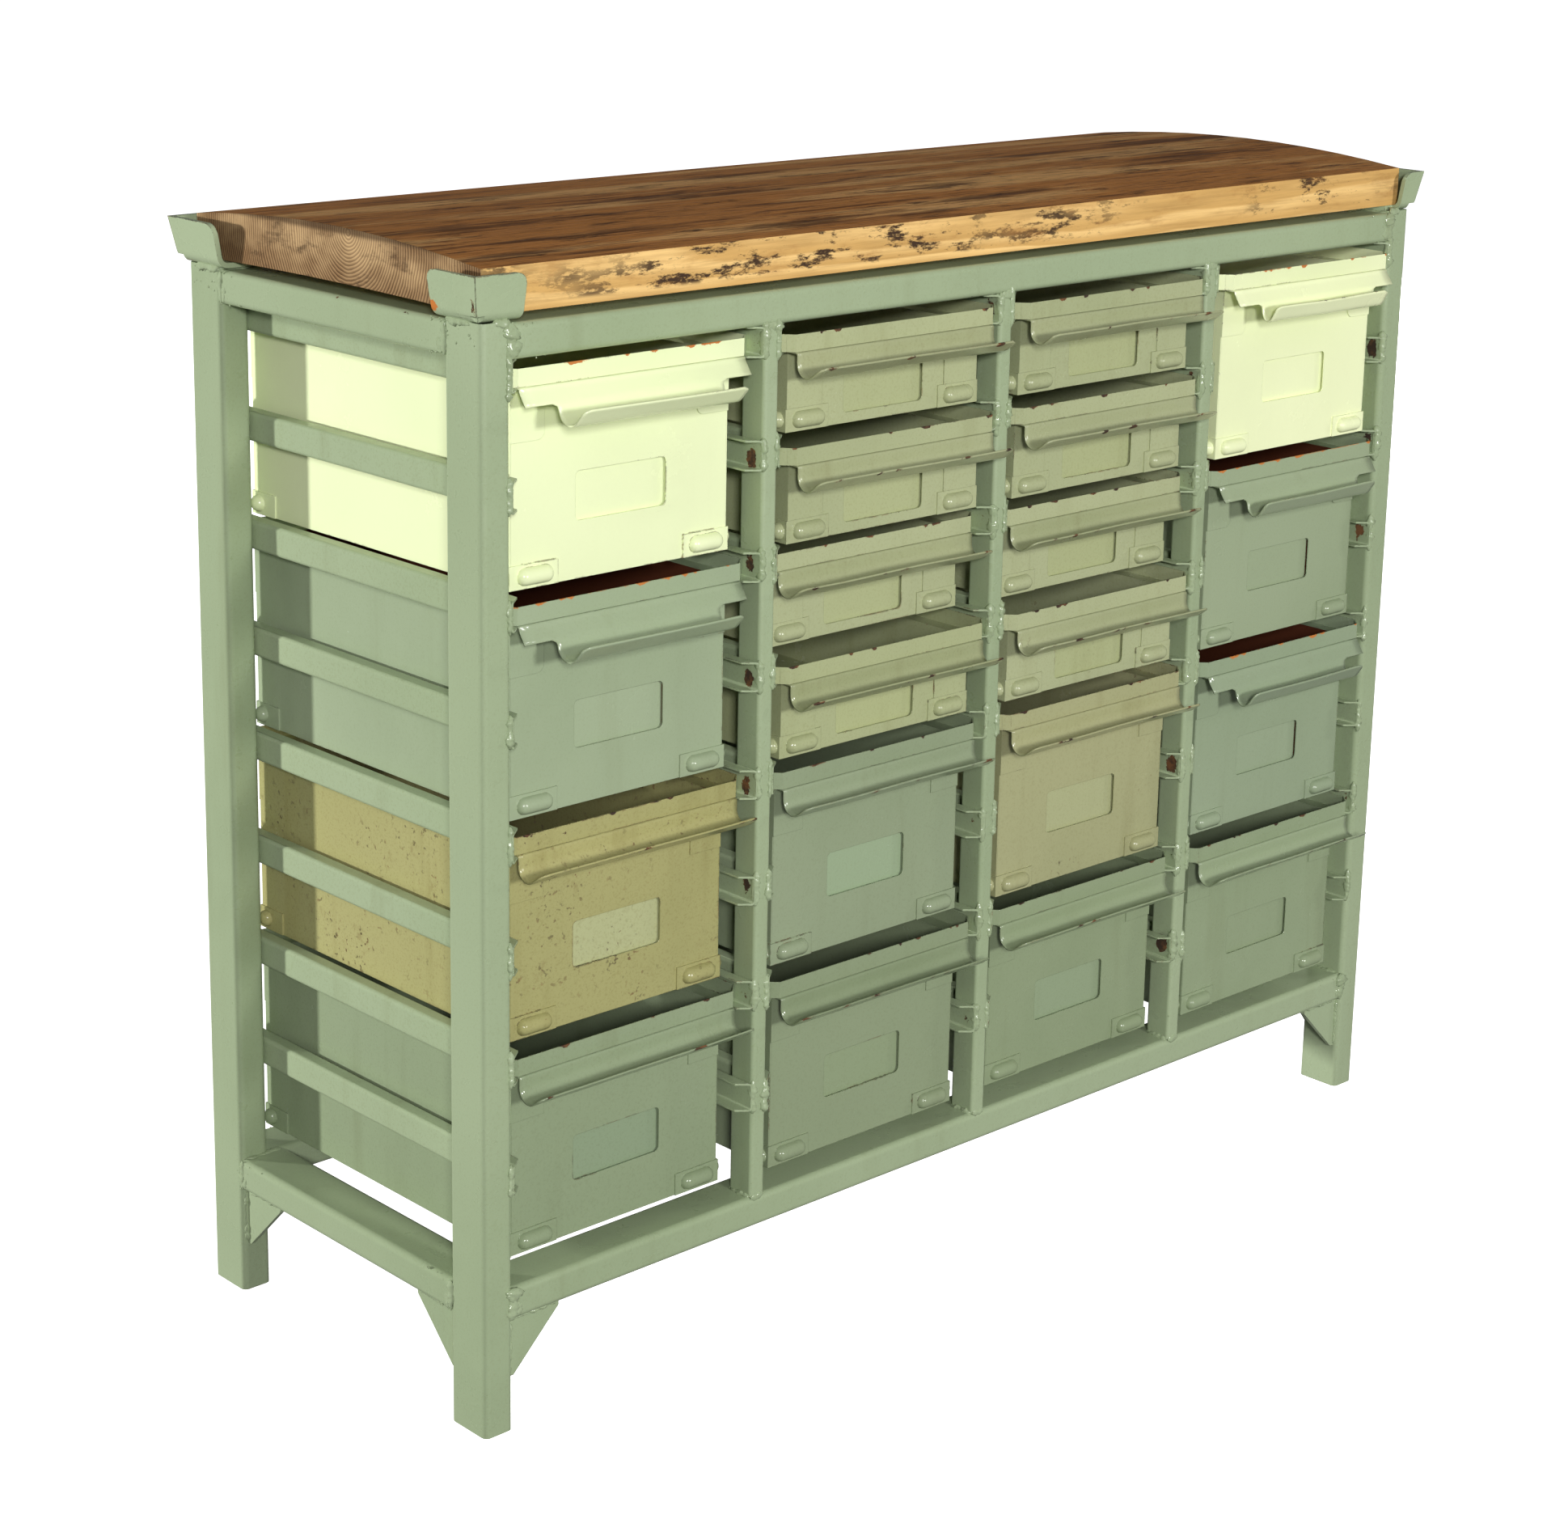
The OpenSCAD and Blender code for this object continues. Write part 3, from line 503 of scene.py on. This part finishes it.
def notched_profile():
    """Section of a notched pull: seat, a flaring band and a curled lip, and where the band ends."""
    band = straight((-SEAT_DEPTH, 0), (0, 0), 4) + arc_points((0, -BEND_R), BEND_R, 90, 10, 3)
    band += straight((1.4, -2 * BEND_R), BAND_FOOT, 5)
    lip = arc_points(LIP_CENTRE, LIP_R, 201, 317, 14)
    neck = [BAND_FOOT] + straight(BAND_FOOT, lip[0], 4)[1:]
    return band + neck + lip + straight(lip[-1], LIP_TIP, 6)[1:] + [LIP_TIP], len(band)


def make_pull(name):
    """A bent sheet with rounded lower corners, and with notched ends where the bin has them."""
    low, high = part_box(f"pull_{name}")
    shell_low, shell_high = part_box(f"bin_{name}")
    profile, band_end = notched_profile() if name in NOTCHED else gutter_profile()
    front = shell_low.y
    most = (front - (cad_box[0][1] - FURTHEST)) / MM - PULL_T / MM / 2
    tip = profile[-1][0]
    squeeze = min(1.0, (most - STIFF) / (tip - STIFF))
    seat_z = shell_high.z - RIM_H - SEAT_GAP - PULL_T / 2
    mid, full = (low.x + high.x) / 2, (high.x - low.x) / 2
    inner = full - NOTCH[0] if band_end else full
    top = inner + NOTCH[1] if band_end else full
    lengths = [0.0]
    for a, b in zip(profile, profile[1:]):
        lengths.append(lengths[-1] + math.dist(a, b) * MM)
    mesh, rows = bmesh.new(), []
    for i, (out, up) in enumerate(profile):
        half = top
        if band_end and i > band_end:
            down = min(1.0, (lengths[i] - lengths[band_end]) / NOTCH[1])
            half = inner + NOTCH[1] * (1 - math.sqrt(1 - (1 - down) ** 2))
        left = min(1.0, (lengths[-1] - lengths[i]) / PULL_CORNER)
        half -= PULL_CORNER * (1 - math.sqrt(max(0.0, 1 - (1 - left) ** 2)))
        spots = [mid + half * (2 * k / PULL_COLUMNS - 1) for k in range(PULL_COLUMNS + 1)]
        if band_end and i <= band_end:
            spots = [mid - full, mid - (full + top) / 2] + spots + [mid + (full + top) / 2, mid + full]
        row = []
        for x in spots:
            wave = Vector((x * 9, out * 0.03 + len(name), front * 40))
            bend = DENTS * noise.noise(wave) * max(0.0, out) / 20
            reach = out if out < STIFF else STIFF + (out - STIFF) * squeeze
            row.append(mesh.verts.new((x, front - reach * MM, seat_z + up * MM + bend)))
        rows.append(row)
    for a, b in zip(rows, rows[1:]):
        if len(a) != len(b):
            a = a[2:-2]  # the band's ends have nothing below them
        for k in range(len(b) - 1):
            mesh.faces.new((a[k], a[k + 1], b[k + 1], b[k]))
    data = bpy.data.meshes.new(f"pull_sheet_{name}")
    mesh.to_mesh(data)
    mesh.free()
    data.materials.append(pull_paints[name])
    for face in data.polygons:
        face.use_smooth = True
    piece = bpy.data.objects.new(f"pull_sheet_{name}", data)
    bpy.context.scene.collection.objects.link(piece)
    thick = piece.modifiers.new("thickness", "SOLIDIFY")
    thick.thickness, thick.offset = PULL_T, 0
    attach(piece, f"drawer_{name}")
    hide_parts(f"pull_{name}")


for name in BIN_LOOKS:
    make_pull(name)

# ---- Weld beads ----

BEAD_STEP = 1.5 * MM
BEAD_SIDES = 12


class Beads:
    """Lumpy weld beads and the spatter round them, gathered into one mesh."""

    def __init__(self, name, seed):
        self.name, self.mesh, self.random = name, bmesh.new(), random.Random(seed)

    def ring(self, centre, side, up):
        angles = [2 * math.pi * k / BEAD_SIDES for k in range(BEAD_SIDES)]
        rough = []
        for a in angles:
            spot = centre + math.cos(a) * side + math.sin(a) * up
            lump = 1 + 0.45 * noise.noise(spot / (3.2 * MM)) + 0.30 * noise.noise(spot / (1.4 * MM))
            rough.append(self.mesh.verts.new(centre + lump * (spot - centre)))
        return rough

    def skin(self, rings):
        for a, b in zip(rings, rings[1:]):
            for k in range(BEAD_SIDES):
                j = (k + 1) % BEAD_SIDES
                self.mesh.faces.new((a[k], a[j], b[j], b[k]))
        self.mesh.faces.new(reversed(rings[0]))
        self.mesh.faces.new(rings[-1])

    def run(self, start, end, out, width, height):
        """One flattened bead from start to end, that stands out along out."""
        start, end, out = Vector(start), Vector(end), Vector(out).normalized()
        along = end - start
        count = max(4, round(along.length / BEAD_STEP))
        side = along.cross(out).normalized()
        phase = self.random.uniform(0, 50)
        rings = []
        for i in range(count + 1):
            t = i / count
            taper = min(1.0, 0.30 + 0.25 * min(i, count - i))
            swell = 1 + 0.55 * noise.noise(Vector((phase, i * 0.16, 0)))
            wander = noise.noise(Vector((i * 0.12, phase, 3))) * width * 0.2
            centre = start + along * t + side * wander
            rings.append(self.ring(centre, side * width / 2 * swell * taper, out * height * swell * taper))
        self.skin(rings)

    def blob(self, centre, out, radius, height):
        """A drop of spatter on a face."""
        centre, out = Vector(centre), Vector(out).normalized()
        side = out.orthogonal().normalized()
        along = out.cross(side)
        rings = []
        for i in range(5):
            angle = math.pi * (0.08 + 0.84 * i / 4)
            r = math.sin(angle)
            middle = centre - along * radius * math.cos(angle)
            rings.append(self.ring(middle, side * radius * r, out * height * r))
        self.skin(rings)

    def spatter(self, corner, u, v, out, count):
        """Drops scattered over a face from a corner along u and v, thinning out away from it."""
        corner, u, v = Vector(corner), Vector(u), Vector(v)
        for _ in range(count):
            spot = corner + u * self.random.random() ** 1.8 + v * self.random.random()
            radius = self.random.uniform(0.5, 1.3) * MM
            self.blob(spot, out, radius, radius * 0.6)

    def finish(self, material):
        data = bpy.data.meshes.new(self.name)
        bmesh.ops.recalc_face_normals(self.mesh, faces=self.mesh.faces)
        self.mesh.to_mesh(data)
        self.mesh.free()
        data.materials.append(material)
        for face in data.polygons:
            face.use_smooth = True
        piece = bpy.data.objects.new(self.name, data)
        bpy.context.scene.collection.objects.link(piece)
        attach(piece, "rack")


bead_paint = paint("bead_paint", FRAME_PAINT, chips=0.3, grime=0.35, rough=0.18, seed=60, rounding=0)
RAIL_W = 52 * MM
FRONT, BACK, LEFT, RIGHT = (0, -1, 0), (0, 1, 0), (-1, 0, 0), (1, 0, 0)
UP, DOWN = (0, 0, 1), (0, 0, -1)

# Where the long rails meet the posts
joints = Beads("weld_beads_rails", 1)
for name in ("rail_top_front", "rail_top_rear", "rail_bottom_front", "rail_bottom_rear"):
    a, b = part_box(name)
    outside = (a.y, FRONT) if a.y < 0 else (b.y, BACK)
    inside = (b.y, BACK) if a.y < 0 else (a.y, FRONT)
    for x, turn in ((a.x, 1), (b.x, -1)):
        for y, out in (outside, inside):
            y -= 0.6 * MM * out[1]
            joints.run((x, y, a.z + 1 * MM), (x, y, b.z - 1 * MM), out, 12 * MM, 2.8 * MM)
            start, end = (x + turn * 7 * MM, y, a.z + 3 * MM), (x + turn * 5 * MM, y, a.z + 17 * MM)
            joints.run(start, end, out, 12 * MM, 2.0 * MM)
            start, end = (x - turn * 1 * MM, y, b.z - 15 * MM), (x + turn * 2 * MM, y, b.z)
            joints.run(start, end, out, 18 * MM, 4.2 * MM)
            joints.spatter((x, y, a.z), (turn * 45 * MM, 0, 0), (0, 0, b.z - a.z), out, 22)
        for z, lift, width in ((b.z - 0.6 * MM, UP, 8 * MM), (a.z + 0.6 * MM, DOWN, 7 * MM)):
            joints.run((x, a.y + 5 * MM, z), (x, b.y - 5 * MM, z), lift, width, 1.8 * MM)
joints.finish(bead_paint)

# Where the side rails meet the posts
joints = Beads("weld_beads_side_rails", 2)
for name in ("rails_top_side", "rails_bottom_side"):
    a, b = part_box(name)
    for x, out, inner in ((a.x, LEFT, a.x + RAIL_W), (b.x, RIGHT, b.x - RAIL_W)):
        x -= 0.6 * MM * out[0]
        for y, turn in ((a.y, 1), (b.y, -1)):
            joints.run((x, y, a.z + 1 * MM), (x, y, b.z - 1 * MM), out, 8 * MM, 1.7 * MM)
            start, end = (x, y + turn * 4 * MM, a.z + 2 * MM), (x, y + turn * 7 * MM, a.z + 18 * MM)
            joints.run(start, end, out, 8 * MM, 1.3 * MM)
            joints.spatter((x, y - turn * 8 * MM, a.z), (0, turn * 45 * MM, 0), (0, 0, b.z - a.z), out, 40)
            ends = sorted((x, inner))
            for z, lift in ((b.z - 0.6 * MM, UP), (a.z + 0.6 * MM, DOWN)):
                joints.run((ends[0] + 5 * MM, y, z), (ends[1] - 5 * MM, y, z), lift, 8 * MM, 1.8 * MM)
joints.finish(bead_paint)

# Where the dividers meet the long rails
joints = Beads("weld_beads_dividers", 3)
gaps = []
for column in range(1, 4):
    gaps.append((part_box(f"runners_column_{column}")[1].x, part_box(f"runners_column_{column + 1}")[0].x))
for name in ("dividers_front", "dividers_rear"):
    a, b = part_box(name)
    for y, out in ((a.y, FRONT), (b.y, BACK)):
        y -= 0.7 * MM * out[1]
        for x0, x1 in gaps:
            for z, lift in ((a.z, 1), (b.z, -1)):
                joints.run((x0 + 1 * MM, y, z), (x1 - 1 * MM, y, z), out, 8 * MM, 1.7 * MM)
                joints.spatter((x0, y, z), (0, 0, lift * 35 * MM), (x1 - x0, 0, 0), out, 5)
    for x0, x1 in gaps:
        for x, out in ((x0, LEFT), (x1, RIGHT)):
            for z in (a.z, b.z):
                joints.run((x, a.y + 3 * MM, z), (x, b.y - 3 * MM, z), out, 6 * MM, 2.2 * MM)
joints.finish(bead_paint)

# Where the runners' ends meet the uprights
joints = Beads("weld_beads_runners", 4)
for column in range(1, 5):
    a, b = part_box(f"runners_column_{column}")
    for level in range(LEVELS):
        z = a.z + level * PITCH
        for x, turn in ((a.x, -1), (b.x, 1)):
            for y, back in ((a.y, 1), (b.y, -1)):
                below, above = joints.random.uniform(-1, 7) * MM, joints.random.uniform(0, 9) * MM
                width, height = joints.random.uniform(6, 10) * MM, joints.random.uniform(2.4, 3.8) * MM
                lean = Vector((-turn, -back * 1.3, 0))
                spot = Vector((x + turn * 1.2 * MM, y + back * 1.6 * MM, z))
                joints.run(
                    spot - Vector((0, 0, below)), spot + Vector((0, 0, RUNNER_H + above)), lean, width, height
                )
# The bins' rims slide past 3 mm inside the channels' backs, so the beads stop short of them
spans = [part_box(f"runners_column_{column}") for column in range(1, 5)]
for vert in joints.mesh.verts:
    for a, b in spans:
        if a.x < vert.co.x < (a.x + b.x) / 2:
            vert.co.x = min(vert.co.x, a.x + RUNNER_CLEAR)
        elif (a.x + b.x) / 2 <= vert.co.x < b.x:
            vert.co.x = max(vert.co.x, b.x - RUNNER_CLEAR)
joints.finish(bead_paint)

# Under the guards, and along the gussets
joints = Beads("weld_beads_corners", 5)
top_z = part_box("post_front_left")[1].z
GUSSET, GUSSET_T, TUBE_R = 58 * MM, 5 * MM, 6 * MM
for name in ("post_front_left", "post_front_right", "post_rear_left", "post_rear_right"):
    a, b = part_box(name)
    x_out, x_in, turn = (a.x, b.x, 1) if a.x < 0 else (b.x, a.x, -1)
    y_out, y_in, back = (a.y, b.y, 1) if a.y < 0 else (b.y, a.y, -1)
    z = top_z - 0.5 * MM
    x_side, y_face = x_out + turn * 1.5 * MM, y_out + back * 1.5 * MM
    start, end = (x_side, y_out + back * 14 * MM, z), (x_side, y_in - back * 2 * MM, z)
    joints.run(start, end, (-turn, 0, 0.6), 9 * MM, 2.6 * MM)
    joints.run((x_out + turn * 14 * MM, y_face, z), (x_in, y_face, z), (0, -back, 0.6), 8 * MM, 2.2 * MM)
    corner = (x_out, y_out + back * 8 * MM, top_z)
    joints.spatter(corner, (0, 0, -22 * MM), (0, back * 40 * MM, 0), (-turn, 0, 0), 14)
    # Gussets: the one in the front's plane, then the one in the side's
    rail_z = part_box("rails_bottom_side")[0].z
    near, far = 4 * MM, GUSSET - 2 * MM
    for plate in (TUBE_R, TUBE_R + GUSSET_T):
        x, y = x_out + turn * plate, y_out + back * plate
        runs = (
            ((x_in, y, rail_z - near), (x_in, y, rail_z - GUSSET + 2 * MM), (turn, 0, 0)),
            ((x_in + turn * near, y, rail_z), (x_in + turn * far, y, rail_z), DOWN),
            ((x, y_in, rail_z - near), (x, y_in, rail_z - GUSSET + 2 * MM), (0, back, 0)),
            ((x, y_in + back * near, rail_z), (x, y_in + back * far, rail_z), DOWN),
        )
        for start, end, out in runs:
            joints.run(start, end, out, 5 * MM, 2 * MM)
joints.finish(bead_paint)

# ---- Stage, light and camera ----


def make_floor():
    """A pale floor with four far walls, so that no view sees past it."""
    n = Nodes("floor")
    n.put(n.shader.inputs["Base Color"], n.mix(n.noise(0.6, 2), (0.84, 0.84, 0.84), (0.88, 0.88, 0.88)))
    n.shader.inputs["Roughness"].default_value = 0.9
    n.shader.inputs["Emission Color"].default_value = (1, 1, 1, 1)
    n.shader.inputs["Emission Strength"].default_value = 1.0
    data = bpy.data.meshes.new("floor")
    reach = 60
    plan = [(-reach, -reach), (reach, -reach), (reach, reach), (-reach, reach)]
    points = [(x, y, z) for z in (0, reach) for x, y in plan]
    walls = [(k, (k + 1) % 4, 4 + (k + 1) % 4, 4 + k) for k in range(4)]
    data.from_pydata(points, [], [(0, 1, 2, 3), *walls])
    data.materials.append(n.material)
    floor = bpy.data.objects.new("floor", data)
    bpy.context.scene.collection.objects.link(floor)
    # It is lit by itself, so it stays pale without tinting the rack
    floor.visible_diffuse = False
    floor.visible_glossy = False


def softbox(name, azimuth, elevation, distance, size, power, glints=True):
    """Area light that faces the middle of the rack. Azimuth 0 is in front, and it grows to the right."""
    data = bpy.data.lights.new(name, "AREA")
    data.shape, data.size, data.energy = "SQUARE", size, power
    light = bpy.data.objects.new(name, data)
    target = Vector((0, 0, 0.55))
    az, el = math.radians(azimuth), math.radians(elevation)
    toward = Vector((math.sin(az) * math.cos(el), -math.cos(az) * math.cos(el), math.sin(el)))
    light.location = target + distance * toward
    light.rotation_euler = toward.to_track_quat("Z", "Y").to_euler()
    light.visible_glossy = glints
    bpy.context.scene.collection.objects.link(light)


def make_world(strength):
    world = bpy.data.worlds.new("studio")
    world.use_nodes = True
    background = world.node_tree.nodes["Background"]
    background.inputs["Color"].default_value = (1, 1, 1, 1)
    background.inputs["Strength"].default_value = strength
    bpy.context.scene.world = world


def make_camera():
    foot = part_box("post_front_left")[0]
    yaw, pitch, roll = (math.radians(v) for v in (CAMERA_YAW, CAMERA_PITCH, CAMERA_ROLL))
    level = Vector((math.sin(yaw), math.cos(yaw), 0))
    right = Vector((math.cos(yaw), -math.sin(yaw), 0))
    ahead = level * math.cos(pitch) - Vector((0, 0, math.sin(pitch)))
    up = Vector((0, 0, math.cos(pitch))) + level * math.sin(pitch)
    across = right * math.cos(roll) + up * math.sin(roll)
    upward = up * math.cos(roll) - right * math.sin(roll)
    turn = Matrix((across, upward, -ahead)).transposed().to_4x4()
    data = bpy.data.cameras.new("camera")
    data.sensor_width, data.lens, data.shift_y = CAMERA_SENSOR, CAMERA_LENS, CAMERA_SHIFT_Y
    data.clip_end = 200
    camera = bpy.data.objects.new("camera", data)
    camera.matrix_world = Matrix.Translation(Vector(CAMERA_FROM_FOOT) + Vector((foot.x, foot.y, 0))) @ turn
    bpy.context.scene.collection.objects.link(camera)
    bpy.context.scene.camera = camera


make_floor()
make_world(0.13)
softbox("left_rear_light", -139, 4, 8.0, 0.36, 680, glints=False)
softbox("front_light", -3, 14, 5.0, 0.5, 106)
softbox("front_left_light", -39, 18, 7.0, 0.75, 238)
softbox("right_light", 67, 8, 4.2, 0.4, 27, glints=False)
softbox("right_rear_light", 122, 5, 7.0, 0.8, 300, glints=False)
make_camera()
bpy.context.scene.view_settings.view_transform = "Standard"
